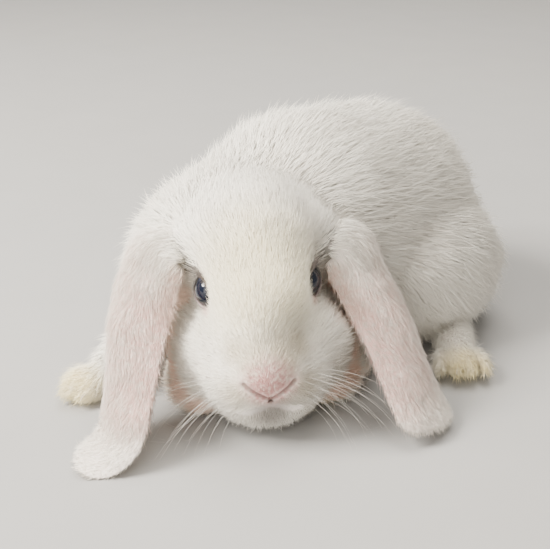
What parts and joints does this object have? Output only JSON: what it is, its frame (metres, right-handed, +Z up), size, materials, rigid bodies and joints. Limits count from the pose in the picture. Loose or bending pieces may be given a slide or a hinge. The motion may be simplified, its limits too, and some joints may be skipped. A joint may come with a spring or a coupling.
{
  "type": "young lop-eared rabbit",
  "caption": "Life-size still model of a young white lop-eared rabbit crouching with its chin near the floor, head turned to its left, ears hanging to the floor.",
  "frame": {"origin": "the flat under the middle of the belly, on the floor", "axes": "+Z up; the trunk lies along Y with the rabbit's front towards -Y and its left towards +X"},
  "size_m": [0.135, 0.211, 0.0853],
  "materials": {
    "coat": "soft white fur, about 12 mm long on the body and 4 mm on the face",
    "ear": "white hair about 6 mm long over pink skin",
    "eye": "wet, dark blue-grey",
    "nose": "matt pink skin under very short hair",
    "whisker": "fine white whiskers and dark lashes",
    "claw": "pale horn"
  },
  "bodies": {
    "root": {"head": "coat", "neck": "coat", "trunk": "coat", "tail": "coat", "foreleg_left": "coat", "foreleg_right": "coat", "forepaw_left": "coat", "forepaw_right": "coat", "thigh_left": "coat", "thigh_right": "coat", "hindfoot_left": "coat", "hindfoot_right": "coat", "ear_left": "ear", "ear_right": "ear", "eye_left": "eye", "eye_right": "eye"}
  },
  "joints": []
}
